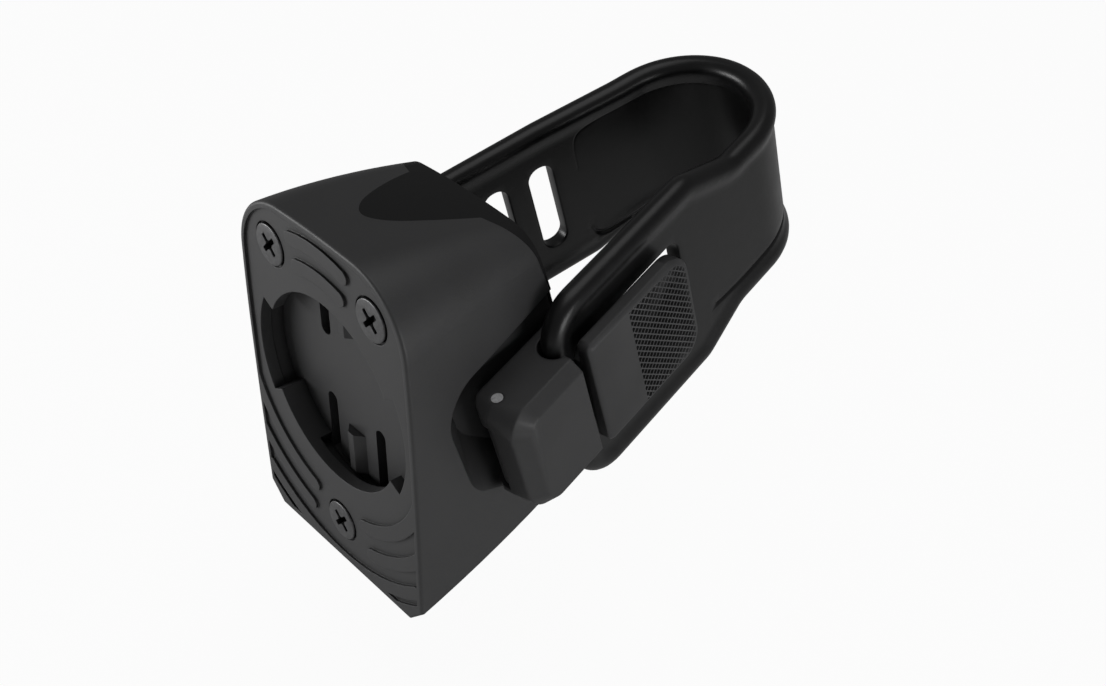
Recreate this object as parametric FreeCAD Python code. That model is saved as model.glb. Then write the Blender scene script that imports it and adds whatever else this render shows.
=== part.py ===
import FreeCAD, Part
import math
import os
from FreeCAD import Placement, Rotation, Vector

# Rear radar mount for a bicycle seat post, in millimetres.
# Origin: centre of the quarter-turn socket, on the front plane of the face plate.
# +X is to the right as seen from the face, +Y runs into the body, towards the post, and +Z is up.
# The post leans back towards the face by POST_TILT. In the post's own frame X is the same,
# V runs from the face to the post and W runs up along the post.

POST_TILT = 15.0

# Outline of the body at the face, and where it meets the post.
FACE_HALF_WIDTH = 17.6
FACE_TOP = 23.5
FACE_BOTTOM = -27.7
FACE_CORNER_R = 10.0
FACE_CROWN_R = 148.0
FACE_SIDE_R = 242.0
FACE_CHAMFER = 2.7
REAR_V = 26.7
REAR_HALF_WIDTH = 13.9
REAR_TOP_W = 14.4
REAR_BOTTOM_W = -26.7
REAR_CORNER_R = 4.6
REAR_CROWN_R = 98.0
REAR_SIDE_R = 150.0
REAR_CHAMFER = 2.5
LOWER_SIDE_DRAFT = 0.35
BODY_BULGE = 0.3
FRONT_EDGE_R = 0.4

# Face plate, with the quarter-turn socket.
PLATE_THICKNESS = 3.8
LIP_THICKNESS = 2.0
SOCKET_R = 13.4
ENTRY_R = 15.45
ENTRY_HALF_ANGLE = 28.0
UNDERCUT_R = 15.6
STOP_ANGLE = 34.0
RELIEF_DEPTH = 0.35
RIM_SIDE = 0.85
RIM_TOP = 0.95
RIM_BOTTOM = 1.2
CORNER_FLAT_R = 29.0
TOP_RIBS = ((16.1, 18.1), (19.7, 21.7))
TOP_RIB_HALF_ANGLE = 15.0
SIDE_RIBS = ((17.9, 20.0, 75.0), (22.2, 24.2, 55.0))
SIDE_RIB_START = 17.0
LOWER_RIB = (26.2, 28.2, 37.0)

# Three countersunk screws hold the plate, each in a brass insert.
UPPER_SCREW_X = 10.4
UPPER_SCREW_Z = 16.65
LOWER_SCREW_Z = -20.9
SCREW_HEAD_R = 2.85
SCREW_HEAD_EDGE = 0.35
SCREW_SHANK_R = 1.5
SCREW_LENGTH = 8.4
CROSS_LENGTH = 3.0
CROSS_WIDTH = 0.55
CROSS_CENTRE = 1.15
CROSS_DEPTH = 1.0
HEAD_CLEARANCE = 0.2
SHANK_CLEARANCE = 0.2
INSERT_R = 2.1
INSERT_LENGTH = 5.2
INSERT_GROOVE = 0.25
THREAD_CLEARANCE = 0.04

# Detent disc, the floor of the socket, with a sprung finger at the top and at the bottom.
DISC_R = 16.3
DISC_THICKNESS = 1.5
DISC_CLEARANCE = 0.1
FINGER_HALF_WIDTH = 4.2
FINGER_SLOT = 2.0
FINGER_ROOT = 5.6
FINGER_TIP = 14.0
FINGER_GAP_END = 15.4
BUMP_HALF_WIDTH = 1.8
BUMP_CREST_HALF_WIDTH = 0.55
BUMP_START = 7.6
BUMP_END = 13.8
BUMP_HEIGHT = 1.1
FLEX_ROOM = 1.6

# Rubber saddle pad that meets the post, with a tongue laid into the top of the body.
PAD_SEAT_R = 27.0
PAD_MIDDLE = 3.85
TONGUE_TIP_Y = 7.0
TONGUE_PARABOLA = 4.2
TONGUE_DEPTH = 1.2

# Strap: a closed rubber loop. S runs back along a side of the strap and N outwards from it.
STRAP_CONVERGE = 9.0
LOOP_R = 13.1
LOOP_CENTRE_V = 61.5
BEAD_R = 1.65
WEB_THICKNESS = 2.3
STRAP_CENTRE_W = -8.9
STRAP_HALF_HEIGHT = 12.2
NEAR_CENTRE_W = -8.6
NEAR_HALF_HEIGHT = 15.7
NEAR_FRONT_S = -43.2
NEAR_CORNER_R = 6.5
NEAR_JOG_START = 14.3
NEAR_JOG_END = 5.1
NEAR_FOOT_JOG_START = 15.8
NEAR_FOOT_JOG_END = 7.6
JOG_R = 5.0
NEAR_SLOT_FRONT_S = -39.9
NEAR_SLOT_REAR_S = -18.2
NEAR_SLOT_CENTRE_W = -6.9
NEAR_SLOT_HALF_HEIGHT = 7.1
SLOT_CORNER_R = 1.8
FAR_FRONT_S = -53.0
FAR_TOP_W = 3.8
FAR_BOTTOM_W = -22.9
FAR_CORNER_R = 5.0
FAR_JOG_START = 16.0
FAR_JOG_END = 3.0
FAR_FOOT_JOG_START = 11.0
FAR_FOOT_JOG_END = 4.0
STRAP_OVERRUN = 12.0
LADDER_WIDTH = 3.9
LADDER_PITCH = 7.5
LADDER_CENTRE_W = -9.95
LADDER_HALF_HEIGHT = 7.25
LADDER_FIRST_S = -17.45
LADDER_COUNT = 5

# Hook that carries the near end of the strap, hinged on a lug of the body.
# Its depths are counted inwards from the outer face of the strap's loop.
PIN_DEPTH = 2.35
PIN_S = -51.36
PIN_R = 0.75
PIN_RUNNING_GAP = 0.05
PIN_RECESS = 0.2
HOOK_TOP_W = 1.6
HOOK_BOTTOM_W = -15.8
HOOK_OUTER_N = 3.0
HOOK_CHAMFER = 1.5
HOOK_FRONT_BEVEL = 1.9
HOOK_NOSE_R = 2.5
HOOK_TOP_CORNER_R = 1.2
HOOK_BOTTOM_CORNER_R = 3.0
HOOK_EDGE_R = 0.8
BLOCK_FRONT_S = -54.2
BLOCK_REAR_S = -42.1
BLOCK_INNER_DEPTH = 3.7
KNUCKLE_R = 2.2
EAR_THICKNESS = 3.0
EAR_GAP = 0.3
LUG_SWEEP_ROOM = 0.3
CHANNEL_R = 2.3
CHANNEL_S = -41.3
CHANNEL_N = -1.55
WEB_FOOT_N = -5.0
NECK_FRONT_S = -39.85
NECK_REAR_S = -33.5
NECK_HALF_HEIGHT = 5.2
TEE_FRONT_S = -40.3
TEE_REAR_S = -20.6
TEE_TOP_W = 2.2
TEE_BOTTOM_W = -15.1
TEE_THICKNESS = 2.0
TEE_CORNER_R = 3.8
TEE_FRONT_CORNER_R = 0.8
TEE_EDGE = 0.45

# Scoop in the right side of the body, round the hinge: its corners in V from the pin, and in W,
# with a radius each, at the floor and at the level of the body's side.
SCOOP_DEPTH = 5.65
SCOOP_SIDE_DEPTH = 2.25
SCOOP_REACH = 1.2
SCOOP_FLOOR = (
    (22.5, 5.6, 0.5), (-4.0, 3.4, 4.4), (-3.6, -6.0, 5.0), (6.0, -17.0, 5.0), (22.5, -17.0, 0.5))
SCOOP_SIDE = (
    (22.5, 7.2, 0.5), (-6.2, 4.1, 6.0), (-5.8, -11.5, 8.0), (0.8, -20.4, 8.0), (22.5, -20.4, 0.5))
LUG_BASE_BACK = 0.85
LUG_BASE_LENGTH = 5.2
LUG_ROOT_DEPTH = 1.0

# Fixed anchor on the left side of the body for one step of the strap's ladder.
ANCHOR_SLOT = 4
ANCHOR_HALF_HEIGHT = 5.6
ANCHOR_HEAD_LENGTH = 7.2
ANCHOR_HEAD_THICKNESS = 1.5
ANCHOR_PAD_MARGIN = 2.4
FIT_GAP = 0.3


def post_frame(shape):
    """Turns a shape built in (X, V, W) into the part's own frame."""
    turned = shape.copy()
    turned.Placement = Placement(Vector(), Rotation(Vector(1, 0, 0), POST_TILT)).multiply(turned.Placement)
    return turned


def near_frame(shape):
    """Places a shape built in (N, S, W), with N = 0 on the loop's axis, on the right side of the strap."""
    placed = shape.copy()
    turn = Placement(Vector(0, LOOP_CENTRE_V, 0), Rotation(Vector(0, 0, 1), STRAP_CONVERGE))
    placed.Placement = turn.multiply(placed.Placement)
    return placed


def mirror_x(shape):
    return shape.mirror(Vector(), Vector(1, 0, 0))


def to_side(shape):
    """From the near side's (N, S, W) to the part's frame."""
    return post_frame(near_frame(shape))


def box(low, high):
    size = [b - a for a, b in zip(low, high)]
    return Part.makeBox(size[0], size[1], size[2], Vector(*low))


def polygon_face(points):
    return Part.Face(Part.makePolygon([Vector(*p) for p in points] + [Vector(*points[0])]))


def polar(radius, degrees):
    """A point of the face plane, as X and Z."""
    angle = math.radians(degrees)
    return radius * math.cos(angle), radius * math.sin(angle)


def disc_along_y(radius, y0, y1, x=0.0, z=0.0):
    return Part.makeCylinder(radius, y1 - y0, Vector(x, y0, z), Vector(0, 1, 0))


def sector(radius, start, end, y0, y1):
    """A slice of a disc about the socket's axis, between two angles counted from +X towards +Z."""
    slice_ = Part.makeCylinder(radius, y1 - y0, Vector(), Vector(0, 0, 1), end - start)
    slice_.rotate(Vector(), Vector(0, 0, 1), start)
    slice_.rotate(Vector(), Vector(1, 0, 0), 90)
    slice_.translate(Vector(0, y1, 0))
    return slice_


def ring_rib(inner, outer, start, end, y0, y1):
    """A rib along a circle about the socket's axis, with round ends."""
    rib = sector(outer, start, end, y0, y1).cut(disc_along_y(inner, y0 - 1, y1 + 1))
    middle = (inner + outer) / 2
    for angle in (start, end):
        x, z = polar(middle, angle)
        rib = rib.fuse(disc_along_y((outer - inner) / 2, y0, y1, x, z))
    return rib.removeSplitter()


def circles_meet(c1, r1, c2, r2):
    """The upper of the two points at distance r1 from c1 and r2 from c2, in X and Z."""
    dx, dz = c2[0] - c1[0], c2[1] - c1[1]
    d = math.hypot(dx, dz)
    a = (r1 * r1 - r2 * r2 + d * d) / (2 * d)
    h = math.sqrt(r1 * r1 - a * a)
    mx, mz = c1[0] + a * dx / d, c1[1] + a * dz / d
    found = [(mx + h * dz / d, mz - h * dx / d), (mx - h * dz / d, mz + h * dx / d)]
    return max(found, key=lambda p: p[1])


def body_outline(half_width, top, bottom, corner_r, crown_r, side_r, chamfer):
    """Closed outline in X and Z: crowned top, round upper corners, nearly straight sides, chamfered foot."""
    crown_c = (0.0, top - crown_r)
    side_c = (half_width - side_r, 0.0)
    corner_c = circles_meet(crown_c, crown_r - corner_r, side_c, side_r - corner_r)

    def beyond(centre, radius):
        away = math.hypot(corner_c[0] - centre[0], corner_c[1] - centre[1])
        return tuple(c + (k - c) * radius / away for c, k in zip(centre, corner_c))

    def on_corner(degrees):
        return tuple(c + corner_r * f for c, f in zip(corner_c, polar(1.0, degrees)))

    def on_side(z):
        return side_c[0] + math.sqrt(side_r * side_r - z * z), z

    crown_end = beyond(crown_c, crown_r)
    side_end = beyond(side_c, side_r)
    crown_mid = (crown_end[0] / 2, crown_c[1] + math.sqrt(crown_r ** 2 - crown_end[0] ** 2 / 4))
    foot_x = half_width - LOWER_SIDE_DRAFT
    lower_mid = (half_width - LOWER_SIDE_DRAFT / 4, (bottom + chamfer) / 2)
    right = [
        ((0, bottom), (foot_x - chamfer, bottom)),
        ((foot_x - chamfer, bottom), (foot_x, bottom + chamfer)),
        ((foot_x, bottom + chamfer), lower_mid, (half_width, 0)),
        ((half_width, 0), on_side(side_end[1] / 2), side_end),
        (side_end, on_corner(45), crown_end),
        (crown_end, crown_mid, (0, top)),
    ]
    left = [tuple((-x, z) for x, z in reversed(edge)) for edge in reversed(right)]
    edges = []
    for edge in right + left:
        points = [Vector(x, 0, z) for x, z in edge]
        edges.append(Part.LineSegment(*points) if len(points) == 2 else Part.Arc(*points))
    return Part.Wire([e.toShape() for e in edges])


def body_section(t):
    """The body's outline at a share t of the way from the face to the post, leaning with it."""
    foot_y = REAR_V / math.cos(math.radians(POST_TILT))
    rise = foot_y * math.sin(math.radians(POST_TILT))
    bulge = BODY_BULGE * 4 * t * (1 - t)

    def between(a, b):
        return a + (b - a) * t

    wire = body_outline(
        between(FACE_HALF_WIDTH, REAR_HALF_WIDTH) + bulge,
        between(FACE_TOP, REAR_TOP_W + rise) + bulge,
        between(FACE_BOTTOM, REAR_BOTTOM_W + rise) - bulge,
        between(FACE_CORNER_R, REAR_CORNER_R),
        between(FACE_CROWN_R, REAR_CROWN_R),
        between(FACE_SIDE_R, REAR_SIDE_R),
        between(FACE_CHAMFER, REAR_CHAMFER),
    )
    wire.rotate(Vector(), Vector(1, 0, 0), POST_TILT * t)
    wire.translate(Vector(0, foot_y * t, 0))
    return wire


def make_body():
    return Part.makeLoft([body_section(t) for t in (0.0, 0.5, 1.0)], True, False)


def face_outline(inset_side, inset_top, inset_bottom):
    return body_outline(
        FACE_HALF_WIDTH - inset_side, FACE_TOP - inset_top, FACE_BOTTOM + inset_bottom,
        FACE_CORNER_R - inset_side, FACE_CROWN_R - inset_top, FACE_SIDE_R - inset_side, FACE_CHAMFER,
    )


def screw_places():
    return {
        "upper_left": (-UPPER_SCREW_X, UPPER_SCREW_Z),
        "upper_right": (UPPER_SCREW_X, UPPER_SCREW_Z),
        "lower": (0.0, LOWER_SCREW_Z),
    }


def relief():
    """What is sunk below the face's rim: the floor between the rim and the concentric ribs."""
    floor = Part.Face(face_outline(RIM_SIDE, RIM_TOP, RIM_BOTTOM)).extrude(Vector(0, RELIEF_DEPTH, 0))
    floor = floor.common(disc_along_y(CORNER_FLAT_R, -1, RELIEF_DEPTH))
    y0, y1 = -1.0, RELIEF_DEPTH + 1.0
    ribs = []
    for inner, outer in TOP_RIBS:
        ribs.append(ring_rib(inner, outer, 90 - TOP_RIB_HALF_ANGLE, 90 + TOP_RIB_HALF_ANGLE, y0, y1))
    for inner, outer, end in SIDE_RIBS:
        ribs.append(ring_rib(inner, outer, SIDE_RIB_START - 90, end - 90, y0, y1))
        ribs.append(ring_rib(inner, outer, -90 - end, -90 - SIDE_RIB_START, y0, y1))
    inner, outer, end = LOWER_RIB
    ribs.append(ring_rib(inner, outer, -90 - end, end - 90, y0, y1))
    for rib in ribs:
        floor = floor.cut(rib)
    return floor


def socket():
    """The hollow of the quarter-turn socket: round mouth, two entries and the grooves behind the lip."""
    back = PLATE_THICKNESS + 1
    hollow = disc_along_y(SOCKET_R, -1, back)
    for middle in (0, 180):
        hollow = hollow.fuse(sector(ENTRY_R, middle - ENTRY_HALF_ANGLE, middle + ENTRY_HALF_ANGLE, -1, back))
        groove_end = middle - ENTRY_HALF_ANGLE
        groove_start = groove_end - (180 - 2 * ENTRY_HALF_ANGLE - STOP_ANGLE)
        hollow = hollow.fuse(sector(UNDERCUT_R, groove_start, groove_end, LIP_THICKNESS, back))
        hollow = hollow.fuse(sector(UNDERCUT_R, groove_end, middle + ENTRY_HALF_ANGLE, LIP_THICKNESS, back))
    return hollow.removeSplitter()


def screw_seat(x, z):
    """Countersink and clearance hole for one screw."""
    head_y = RELIEF_DEPTH
    cone_top = head_y + SCREW_HEAD_EDGE
    cone_depth = SCREW_HEAD_R - SCREW_SHANK_R
    seat = disc_along_y(SCREW_HEAD_R + HEAD_CLEARANCE, -1, cone_top, x, z)
    cone = Part.makeCone(SCREW_HEAD_R, SCREW_SHANK_R, cone_depth, Vector(x, cone_top, z), Vector(0, 1, 0))
    hole = disc_along_y(SCREW_SHANK_R + SHANK_CLEARANCE, cone_top, PLATE_THICKNESS + 1, x, z)
    return seat.fuse(cone).fuse(hole)


def front_edges(shape):
    return [e for e in shape.Edges if e.BoundBox.YMax < 0.01 and e.BoundBox.YMin > -0.01]


def make_face_plate(body):
    plate = body.common(box((-30, -1, -40), (30, PLATE_THICKNESS, 40)))
    plate = plate.makeFillet(FRONT_EDGE_R, front_edges(plate))
    plate = plate.cut(relief())
    plate = plate.cut(socket())
    for x, z in screw_places().values():
        plate = plate.cut(screw_seat(x, z))
    return plate


def make_screw(x, z):
    head_y = RELIEF_DEPTH
    cone_top = head_y + SCREW_HEAD_EDGE
    cone_depth = SCREW_HEAD_R - SCREW_SHANK_R
    screw = disc_along_y(SCREW_HEAD_R, head_y, cone_top, x, z)
    screw = screw.fuse(
        Part.makeCone(SCREW_HEAD_R, SCREW_SHANK_R, cone_depth, Vector(x, cone_top, z), Vector(0, 1, 0)))
    screw = screw.fuse(disc_along_y(SCREW_SHANK_R, cone_top + cone_depth - 0.01, head_y + SCREW_LENGTH, x, z))
    screw = screw.removeSplitter()
    half, arm, centre = CROSS_LENGTH / 2, CROSS_WIDTH / 2, CROSS_CENTRE / 2
    for w, h in ((arm, half), (half, arm), (centre, centre)):
        screw = screw.cut(box((x - w, head_y - 1, z - h), (x + w, head_y + CROSS_DEPTH, z + h)))
    return screw


def make_insert(x, z):
    insert = disc_along_y(INSERT_R, PLATE_THICKNESS, PLATE_THICKNESS + INSERT_LENGTH, x, z)
    insert = insert.cut(
        disc_along_y(SCREW_SHANK_R + THREAD_CLEARANCE, 0, PLATE_THICKNESS + INSERT_LENGTH + 1, x, z))
    middle = PLATE_THICKNESS + INSERT_LENGTH / 2
    groove = disc_along_y(INSERT_R + 1, middle - 0.4, middle + 0.4, x, z)
    return insert.cut(groove.cut(disc_along_y(INSERT_R - INSERT_GROOVE, 0, middle + 1, x, z)))


def bump(sign):
    """The detent's rounded ridge on a finger, with a ramp on either side."""
    y = PLATE_THICKNESS
    crest = BUMP_CREST_HALF_WIDTH
    z0, z1 = sign * BUMP_START, sign * BUMP_END
    section = polygon_face([
        (-BUMP_HALF_WIDTH, y + 0.2, z0), (-BUMP_HALF_WIDTH, y, z0), (-crest, y - BUMP_HEIGHT, z0),
        (crest, y - BUMP_HEIGHT, z0), (BUMP_HALF_WIDTH, y, z0), (BUMP_HALF_WIDTH, y + 0.2, z0)])
    return section.extrude(Vector(0, 0, z1 - z0))


def finger_slots(sign, y0, y1):
    """The U-shaped slot that frees one finger of the disc."""
    outer = FINGER_HALF_WIDTH + FINGER_SLOT
    low, high = sorted((sign * FINGER_ROOT, sign * FINGER_GAP_END))
    slot = box((-outer, y0, low), (outer, y1, high))
    low, high = sorted((sign * (FINGER_ROOT - 1), sign * FINGER_TIP))
    slot = slot.common(disc_along_y(FINGER_GAP_END, y0, y1))
    for side in (1, -1):
        x = side * (FINGER_HALF_WIDTH + FINGER_SLOT / 2)
        slot = slot.fuse(disc_along_y(FINGER_SLOT / 2, y0, y1, x, sign * FINGER_ROOT))
    return slot.cut(box((-FINGER_HALF_WIDTH, y0 - 1, low), (FINGER_HALF_WIDTH, y1 + 1, high)))


def make_detent_disc():
    y0, y1 = PLATE_THICKNESS, PLATE_THICKNESS + DISC_THICKNESS
    disc = disc_along_y(DISC_R, y0, y1)
    for sign in (1, -1):
        disc = disc.cut(finger_slots(sign, y0 - 1, y1 + 1))
        disc = disc.fuse(bump(sign))
    return disc.removeSplitter()


def disc_pocket():
    y0 = PLATE_THICKNESS
    y1 = y0 + DISC_THICKNESS
    pocket = disc_along_y(DISC_R + DISC_CLEARANCE, y0 - 1, y1)
    outer = FINGER_HALF_WIDTH + FINGER_SLOT
    for sign in (1, -1):
        low, high = sorted((sign * (FINGER_ROOT - 0.5), sign * FINGER_GAP_END))
        pocket = pocket.fuse(box((-outer, y0, low), (outer, y1 + FLEX_ROOM, high)))
    return pocket.removeSplitter()


def pad_region():
    """The space of the rubber pad: a slab against a round seat, and a tongue below the body's top."""
    seat_v = REAR_V - PAD_MIDDLE + PAD_SEAT_R
    seat = Part.makeCylinder(PAD_SEAT_R, 80, Vector(0, seat_v, -45), Vector(0, 0, 1))
    slab = post_frame(seat.common(box((-30, 0, -45), (30, REAR_V + 1, 35))))
    reach = 17.0
    points = []
    for x in (-8.4, -6.3, -4.2, -2.1, 0.0, 2.1, 4.2, 6.3, 8.4):
        points.append(Vector(x, TONGUE_TIP_Y + x * x / TONGUE_PARABOLA, 0))
    curve = Part.BSplineCurve()
    curve.interpolate(points)
    close = Part.makePolygon([points[-1], Vector(8.4, 40, 0), Vector(-8.4, 40, 0), points[0]])
    tongue = Part.Face(Part.Wire([curve.toShape()] + close.Edges)).extrude(Vector(0, 0, reach))
    tongue.translate(Vector(0, 0, 12))
    return slab, tongue


def make_pad(body):
    slab, tongue = pad_region()
    sunk = body.copy()
    sunk.translate(Vector(0, 0, -TONGUE_DEPTH))
    inlay = body.common(tongue).cut(sunk)
    return body.common(slab).fuse(inlay).removeSplitter()


def pin_place():
    """The hinge pin's axis as X and V."""
    turn = math.radians(STRAP_CONVERGE)
    n = LOOP_R - PIN_DEPTH
    x = n * math.cos(turn) - PIN_S * math.sin(turn)
    return x, LOOP_CENTRE_V + n * math.sin(turn) + PIN_S * math.cos(turn)


def scoop():
    """The drafted hollow in the right side that the hook's hinge sits in, in (X, V, W)."""
    pin_x, pin_v = pin_place()

    def outline(x):
        share = (x - pin_x + SCOOP_DEPTH) / (SCOOP_DEPTH - SCOOP_SIDE_DEPTH)
        corners = []
        for floor, side in zip(SCOOP_FLOOR, SCOOP_SIDE):
            corners.append([a + (b - a) * share for a, b in zip(floor, side)])
        points = [(x, pin_v + v, w) for v, w, r in corners]
        return rounded_outline(points, [r for v, w, r in corners])

    return Part.makeLoft([outline(pin_x - SCOOP_DEPTH), outline(pin_x + SCOOP_REACH)], True, True)


def hinge_lug():
    """The lug that stands out of the scoop, as high as the gap between the hook's ears, in (X, V, W)."""
    low, high = HOOK_BOTTOM_W + EAR_THICKNESS + EAR_GAP, HOOK_TOP_W - EAR_THICKNESS - EAR_GAP
    pin_x, pin_v = pin_place()
    root_x = pin_x - SCOOP_DEPTH - LUG_ROOT_DEPTH
    base_v = pin_v + LUG_BASE_BACK
    boss = Part.makeCylinder(KNUCKLE_R, high - low, Vector(pin_x, pin_v, low))
    neck = polygon_face([
        (pin_x - KNUCKLE_R * 0.75, pin_v, low), (pin_x, pin_v + KNUCKLE_R * 0.98, low),
        (root_x, base_v + LUG_BASE_LENGTH, low), (root_x, base_v, low),
    ]).extrude(Vector(0, 0, high - low))
    lug = boss.fuse(neck).removeSplitter()
    return lug.cut(pin_space(PIN_RUNNING_GAP))


def pin_space(gap):
    height = HOOK_TOP_W - HOOK_BOTTOM_W
    return Part.makeCylinder(PIN_R + gap, 2 * height, Vector(*pin_place(), HOOK_BOTTOM_W - height / 2))


def anchor_s():
    return LADDER_FIRST_S - LADDER_PITCH * ANCHOR_SLOT


def make_anchor(body):
    """Pad, neck and forward lip that hold the strap's ladder on the left side, in the part's frame."""
    slot_front = anchor_s() - LADDER_WIDTH / 2
    neck_front = slot_front + FIT_GAP
    neck_rear = neck_front + LADDER_WIDTH - 2 * FIT_GAP
    inner_n = LOOP_R - 2 * BEAD_R - FIT_GAP
    head_n = LOOP_R + FIT_GAP
    low, high = LADDER_CENTRE_W - ANCHOR_HALF_HEIGHT, LADDER_CENTRE_W + ANCHOR_HALF_HEIGHT
    pad = box(
        (inner_n - 8, neck_front - ANCHOR_PAD_MARGIN, low - ANCHOR_PAD_MARGIN),
        (inner_n, neck_rear + ANCHOR_PAD_MARGIN, high + ANCHOR_PAD_MARGIN))
    neck = box((inner_n - 1, neck_front, low), (head_n, neck_rear, high))
    head = box((head_n, neck_rear - ANCHOR_HEAD_LENGTH, low), (head_n + ANCHOR_HEAD_THICKNESS, neck_rear, high))
    head = head.makeChamfer(0.6, [e for e in head.Edges if e.BoundBox.XMin > head_n + 1])
    whole = mirror_x(to_side(pad.fuse(neck).fuse(head)))
    return whole.cut(body)


def make_housing(body, pad):
    housing = body.common(box((-30, PLATE_THICKNESS, -40), (30, 60, 40)))
    housing = housing.cut(post_frame(scoop()))
    housing = housing.cut(pad)
    housing = housing.cut(disc_pocket())
    depth = PLATE_THICKNESS + INSERT_LENGTH
    for x, z in screw_places().values():
        housing = housing.cut(disc_along_y(INSERT_R, 0, depth, x, z))
        housing = housing.cut(disc_along_y(SCREW_SHANK_R + SHANK_CLEARANCE, 0, depth + 1.5, x, z))
    housing = housing.fuse(post_frame(hinge_lug()))
    return housing.fuse(make_anchor(body)).removeSplitter()


def rounded_outline(points, radii):
    """A closed flat wire with its corners rounded, each by its own radius, or left sharp where that is 0."""
    count = len(points)
    edges, starts, ends, arcs = [], [], [], []
    for i, point in enumerate(points):
        before = Vector(*points[i - 1]) - Vector(*point)
        after = Vector(*points[(i + 1) % count]) - Vector(*point)
        before.normalize()
        after.normalize()
        half = before.getAngle(after) / 2
        corner = Vector(*point)
        back = radii[i] / math.tan(half)
        bisector = before + after
        bisector.normalize()
        starts.append(corner + before * back)
        ends.append(corner + after * back)
        arcs.append(corner + bisector * (radii[i] / math.sin(half) - radii[i]))
    for i in range(count):
        if radii[i] > 0:
            edges.append(Part.Arc(starts[i], arcs[i], ends[i]).toShape())
        edges.append(Part.LineSegment(ends[i], starts[(i + 1) % count]).toShape())
    return Part.Wire(edges)


def bead_along(path, radius):
    """Round bars along each straight and round run of a path, where the strap runs."""
    bars = []
    for edge in path.Edges:
        if edge.BoundBox.YMin > STRAP_OVERRUN - BEAD_R - 2:
            continue
        first, last = edge.FirstParameter, edge.LastParameter
        ring = Part.makeCircle(radius, edge.valueAt(first), edge.tangentAt(first))
        face = Part.Face(Part.Wire([ring]))
        if edge.Curve.TypeId == "Part::GeomCircle":
            bars.append(face.revolve(edge.Curve.Center, edge.Curve.Axis, math.degrees(last - first)))
        else:
            bars.append(face.extrude(edge.valueAt(last) - edge.valueAt(first)))
    return bars


def strap_side(outline):
    """One straight side of the strap, a web with a round bead along its edges, ending flush at S = 0."""
    path = outline.makeOffset2D(-BEAD_R)
    path.translate(Vector(LOOP_R - BEAD_R, 0, 0))
    web = Part.Face(path).extrude(Vector(WEB_THICKNESS, 0, 0))
    web.translate(Vector(-WEB_THICKNESS / 2, 0, 0))
    side = web.multiFuse(bead_along(path, BEAD_R)).removeSplitter()
    return side.cut(box((-60, 0, -60), (60, 60, 60)))


def near_outline():
    top, bottom = NEAR_CENTRE_W + NEAR_HALF_HEIGHT, NEAR_CENTRE_W - NEAR_HALF_HEIGHT
    narrow_top, narrow_bottom = STRAP_CENTRE_W + STRAP_HALF_HEIGHT, STRAP_CENTRE_W - STRAP_HALF_HEIGHT
    points = [
        (0, NEAR_FRONT_S, bottom), (0, NEAR_FRONT_S, top), (0, -NEAR_JOG_START, top),
        (0, -NEAR_JOG_END, narrow_top), (0, STRAP_OVERRUN, narrow_top), (0, STRAP_OVERRUN, narrow_bottom),
        (0, -NEAR_FOOT_JOG_END, narrow_bottom), (0, -NEAR_FOOT_JOG_START, bottom),
    ]
    return rounded_outline(points, [NEAR_CORNER_R] * 2 + [JOG_R] * 2 + [BEAD_R] * 2 + [JOG_R] * 2)


def far_outline():
    narrow_top, narrow_bottom = STRAP_CENTRE_W + STRAP_HALF_HEIGHT, STRAP_CENTRE_W - STRAP_HALF_HEIGHT
    points = [
        (0, FAR_FRONT_S, FAR_BOTTOM_W), (0, FAR_FRONT_S, FAR_TOP_W), (0, -FAR_JOG_START, FAR_TOP_W),
        (0, -FAR_JOG_END, narrow_top), (0, STRAP_OVERRUN, narrow_top), (0, STRAP_OVERRUN, narrow_bottom),
        (0, -FAR_FOOT_JOG_END, narrow_bottom), (0, -FAR_FOOT_JOG_START, FAR_BOTTOM_W),
    ]
    return rounded_outline(points, [FAR_CORNER_R] * 2 + [JOG_R] * 2 + [BEAD_R] * 2 + [JOG_R] * 2)


def strap_slot(front, rear, centre_w, half_height):
    points = [
        (0, front, centre_w - half_height), (0, front, centre_w + half_height),
        (0, rear, centre_w + half_height), (0, rear, centre_w - half_height),
    ]
    slot = Part.Face(rounded_outline(points, [SLOT_CORNER_R] * 4)).extrude(Vector(LOOP_R, 0, 0))
    slot.translate(Vector(LOOP_R / 2, 0, 0))
    return slot


def strap_bend():
    """The round end of the loop, from one side's tangent point to the other's."""
    bead_w = STRAP_HALF_HEIGHT - BEAD_R
    middle = LOOP_R - BEAD_R
    sweep = 180 - 2 * STRAP_CONVERGE
    inner, outer = middle - WEB_THICKNESS / 2, middle + WEB_THICKNESS / 2
    low, high = STRAP_CENTRE_W - bead_w, STRAP_CENTRE_W + bead_w
    web = polygon_face([(inner, 0, low), (outer, 0, low), (outer, 0, high), (inner, 0, high)])
    bend = web.revolve(Vector(), Vector(0, 0, 1), sweep)
    for w in (low, high):
        circle = Part.Wire([Part.makeCircle(BEAD_R, Vector(middle, 0, w), Vector(0, 1, 0))])
        bend = bend.fuse(Part.Face(circle).revolve(Vector(), Vector(0, 0, 1), sweep))
    return bend


def make_strap():
    near = strap_side(near_outline())
    near = near.cut(
        strap_slot(NEAR_SLOT_FRONT_S, NEAR_SLOT_REAR_S, NEAR_SLOT_CENTRE_W, NEAR_SLOT_HALF_HEIGHT))
    far = strap_side(far_outline())
    for step in range(LADDER_COUNT):
        middle = LADDER_FIRST_S - LADDER_PITCH * step
        far = far.cut(strap_slot(
            middle - LADDER_WIDTH / 2, middle + LADDER_WIDTH / 2, LADDER_CENTRE_W, LADDER_HALF_HEIGHT))
    bend = near_frame(strap_bend())
    whole = near_frame(near).fuse(bend).fuse(mirror_x(near_frame(far)))
    return post_frame(whole.removeSplitter())


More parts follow.
